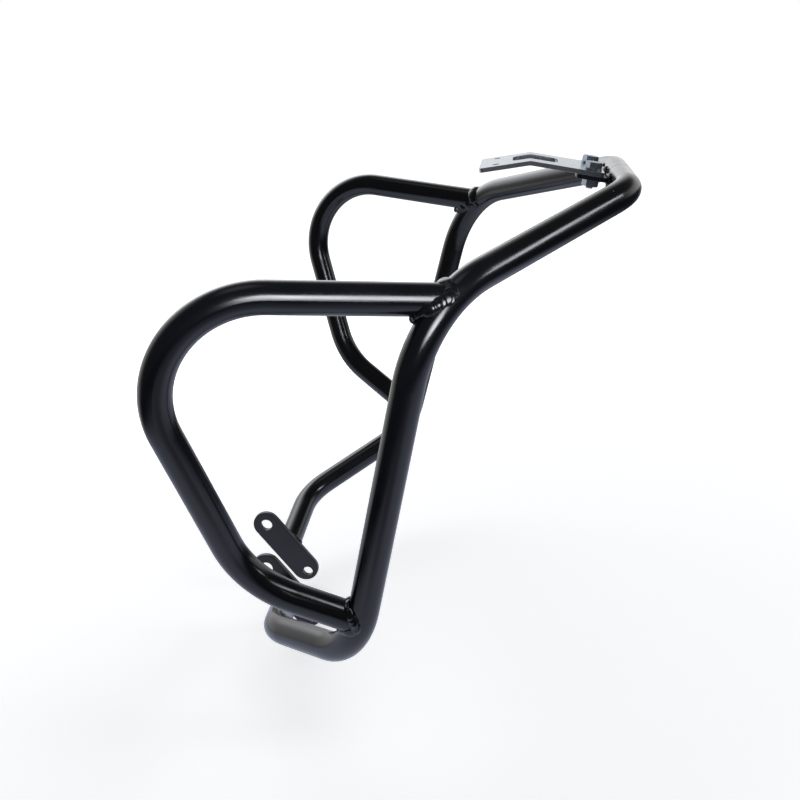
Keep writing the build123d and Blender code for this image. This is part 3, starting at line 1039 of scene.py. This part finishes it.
def floor_paint(stage, centre):
    """Pale matt floor paint, lifted to white for the camera, which keeps the object's shadow.

    In reflections it is white behind the object and a cool grey before it, palest close to the object and
    dim where the camera's shade falls.
    """
    material, tree, place = new_material("pale floor paint")
    rays = add_node(tree, "ShaderNodeLightPath").outputs
    away = add_node(
        tree, "ShaderNodeVectorMath", {"Vector": place, "Vector_001": centre},
        operation="SUBTRACT").outputs[0]
    distance = add_node(
        tree, "ShaderNodeVectorMath", {"Vector": away}, operation="LENGTH").outputs["Value"]
    glow = add_node(
        tree, "ShaderNodeMapRange", {
            "Value": distance, "From Min": GLOW_REACH[0], "From Max": GLOW_REACH[1],
            "To Min": stage.floor_lift, "To Max": 1.0},
        interpolation_type="SMOOTHSTEP").outputs["Result"]
    pool = floor_light(tree, place, POOL_MIDDLE, POOL_REACH, POOL_LIGHT)
    shade = floor_light(tree, place, CAMERA_SHADE, SHADE_REACH, SHADE_LIGHT)
    before = add_node(
        tree, "ShaderNodeMath", {"Value": pool, "Value_001": shade}, operation="MULTIPLY").outputs[0]
    side = level_share(tree, away, BACKDROP_SIDE, FLOOR_COSINES)
    clear = add_node(
        tree, "ShaderNodeMapRange", {
            "Value": distance, "From Min": CLEAR_REACH[0], "From Max": CLEAR_REACH[1]},
        interpolation_type="SMOOTHSTEP").outputs["Result"]
    behind = add_node(
        tree, "ShaderNodeMath", {"Value": side, "Value_001": clear}, operation="MULTIPLY").outputs[0]
    mirrored = add_node(
        tree, "ShaderNodeMix", {"Factor_Float": behind, "A_Float": before, "B_Float": 1.0}).outputs[0]
    tint = add_node(
        tree, "ShaderNodeMix", {
            "Factor_Float": behind, "A_Color": opaque(stage.cool_colour), "B_Color": WHITE},
        data_type="RGBA").outputs[MIXED_COLOUR]
    plain = add_node(tree, "ShaderNodeBsdfDiffuse", {"Color": opaque(stage.floor_colour)}).outputs[0]
    shaded = add_node(
        tree, "ShaderNodeBsdfDiffuse", {"Color": opaque([stage.shadow_depth] * 3)}).outputs[0]
    lift = add_node(tree, "ShaderNodeEmission", {"Color": WHITE, "Strength": glow}).outputs[0]
    white = add_node(tree, "ShaderNodeAddShader", {"Shader": shaded, "Shader_001": lift}).outputs[0]
    image = add_node(tree, "ShaderNodeEmission", {"Color": tint, "Strength": mirrored}).outputs[0]
    bounced = add_node(
        tree, "ShaderNodeMixShader", {"Fac": rays["Is Glossy Ray"], "Shader": plain, "Shader_001": image})
    surface = add_node(
        tree, "ShaderNodeMixShader", {
            "Fac": seen_directly(tree, rays), "Shader": bounced.outputs[0], "Shader_001": white})
    add_node(tree, "ShaderNodeOutputMaterial", {"Surface": surface.outputs[0]})
    return material


def fade_lamp(data):
    """Lets a lamp fade smoothly from its middle to its edge."""
    data.use_nodes = True
    tree = data.node_tree
    tree.nodes.clear()
    # These coordinates run from 0 to 1 across the lamp
    place = add_node(tree, "ShaderNodeNewGeometry").outputs["Parametric"]
    away = add_node(
        tree, "ShaderNodeVectorMath", {"Vector": place, "Vector_001": (0.5, 0.5, 0)},
        operation="DISTANCE").outputs["Value"]
    strength = add_node(
        tree, "ShaderNodeMapRange", {"Value": away, "From Max": 0.5, "To Min": 1.0, "To Max": 0.0},
        interpolation_type="SMOOTHSTEP").outputs["Result"]
    glow = add_node(tree, "ShaderNodeEmission", {"Strength": strength})
    add_node(tree, "ShaderNodeOutputLight", {"Surface": glow.outputs[0]})


def add_lamp(name, target, direction, distance, size, power, tilt=0, spread=180, faded=False):
    """A rectangular lamp that faces a target and stays out of the picture.

    Its tilt about its own axis and the spread of its beam are in degrees.
    """
    data = bpy.data.lights.new(name, "AREA")
    data.shape = "RECTANGLE"
    data.size, data.size_y = size
    data.energy = power
    data.spread = math.radians(spread)
    data.color = LAMP_COLOUR
    if faded:
        fade_lamp(data)
    lamp = bpy.data.objects.new(name, data)
    lamp.location = target + direction * distance
    facing = (-direction).to_track_quat("-Z", "Y")
    lamp.rotation_euler = (facing @ Quaternion((0, 0, 1), math.radians(tilt))).to_euler()
    lamp.visible_camera = False
    bpy.context.scene.collection.objects.link(lamp)


class CRASHBARS_OT_set_stage(bpy.types.Operator):
    """Set the floor, the light and the camera"""

    bl_idname = "crash_bars.set_stage"
    bl_label = "Set Stage"

    def execute(self, context):
        stage = context.scene.crash_bars.stage
        low, high = (Vector(corner) for corner in CAD_BOX)
        centre = (low + high) / 2
        mesh = bmesh.new()
        bmesh.ops.create_grid(mesh, x_segments=1, y_segments=1, size=stage.floor_size / 2)
        bmesh.ops.translate(mesh, verts=mesh.verts, vec=(centre.x, centre.y, low.z))
        floor = link_mesh("floor", mesh, floor_paint(stage, centre))
        white_room(stage)
        add_lamp(
            "key strip", HOOP_TOP, bearing(-59, 13), distance=0.315, size=(0.30, 0.125),
            power=stage.key_power, spread=48)
        add_lamp(
            "front lamp", FRONT_TUBE, bearing(1, 15), distance=1.5, size=(0.22, 0.6),
            power=stage.front_power, tilt=-45)
        add_lamp(
            "lower lamp", HOOP_FOOT, bearing(-27, 51), distance=0.25, size=(0.05, 0.13),
            power=stage.lower_power, spread=70)
        add_lamp(
            "rear soft box", centre, bearing(118, 31), distance=1.7, size=(3.0, 1.6),
            power=stage.rear_power, faded=True)
        add_lamp(
            "side soft box", centre, bearing(84, 8), distance=1.7, size=(1.2, 0.6),
            power=stage.side_power, faded=True)
        self.set_camera(context, stage)
        context.scene.view_settings.view_transform = "Standard"
        return {"FINISHED"}

    def set_camera(self, context, stage):
        """Stands the camera at the photograph's place."""
        aim = Vector(stage.camera_aim).normalized()
        level = aim.cross(Vector((0, 0, 1))).normalized()
        turn = Matrix.Rotation(stage.camera_roll, 3, -aim)
        right = turn @ level
        up = right.cross(aim)
        data = bpy.data.cameras.new("camera")
        data.sensor_width = SENSOR_WIDTH
        data.lens = stage.lens
        camera = bpy.data.objects.new("camera", data)
        matrix = Matrix((right, up, -aim)).transposed().to_4x4()
        matrix.translation = stage.camera_place
        camera.matrix_world = matrix
        context.scene.collection.objects.link(camera)
        context.scene.camera = camera


# Panel

class CRASHBARS_PT_panel(bpy.types.Panel):
    """Buttons and settings of the crash bars"""

    bl_idname = "CRASHBARS_PT_panel"
    bl_label = "Crash Bars"
    bl_space_type = "VIEW_3D"
    bl_region_type = "UI"
    bl_category = "Crash Bars"

    def draw(self, context):
        for operator in OPERATORS:
            self.layout.operator(operator.bl_idname)
        settings = context.scene.crash_bars
        for field in CrashBarSettings.__annotations__:
            group = getattr(settings, field)
            column = self.layout.column(align=True)
            for name in group.__annotations__:
                column.prop(group, name)


OPERATORS = (
    CRASHBARS_OT_coat_tubes,
    CRASHBARS_OT_fill_seam,
    CRASHBARS_OT_lay_welds,
    CRASHBARS_OT_ease_plates,
    CRASHBARS_OT_plate_bracket,
    CRASHBARS_OT_fit_fasteners,
    CRASHBARS_OT_set_stage,
)
CLASSES = (
    CoatSettings, ZincSettings, BeadSettings, EdgeSettings, ThreadSettings, StageSettings,
    CrashBarSettings, *OPERATORS, CRASHBARS_PT_panel,
)


def register():
    """Adds the settings, operators and panel."""
    for one in CLASSES:
        bpy.utils.register_class(one)
    bpy.types.Scene.crash_bars = PointerProperty(type=CrashBarSettings)


def unregister():
    """Takes the settings, operators and panel away."""
    del bpy.types.Scene.crash_bars
    for one in reversed(CLASSES):
        bpy.utils.unregister_class(one)


def main():
    """Dresses the crash bars."""
    register()
    bpy.ops.crash_bars.coat_tubes()
    bpy.ops.crash_bars.fill_seam()
    bpy.ops.crash_bars.lay_welds()
    bpy.ops.crash_bars.ease_plates()
    bpy.ops.crash_bars.plate_bracket()
    bpy.ops.crash_bars.fit_fasteners()
    bpy.ops.crash_bars.set_stage()


if __name__ == "__main__":
    main()
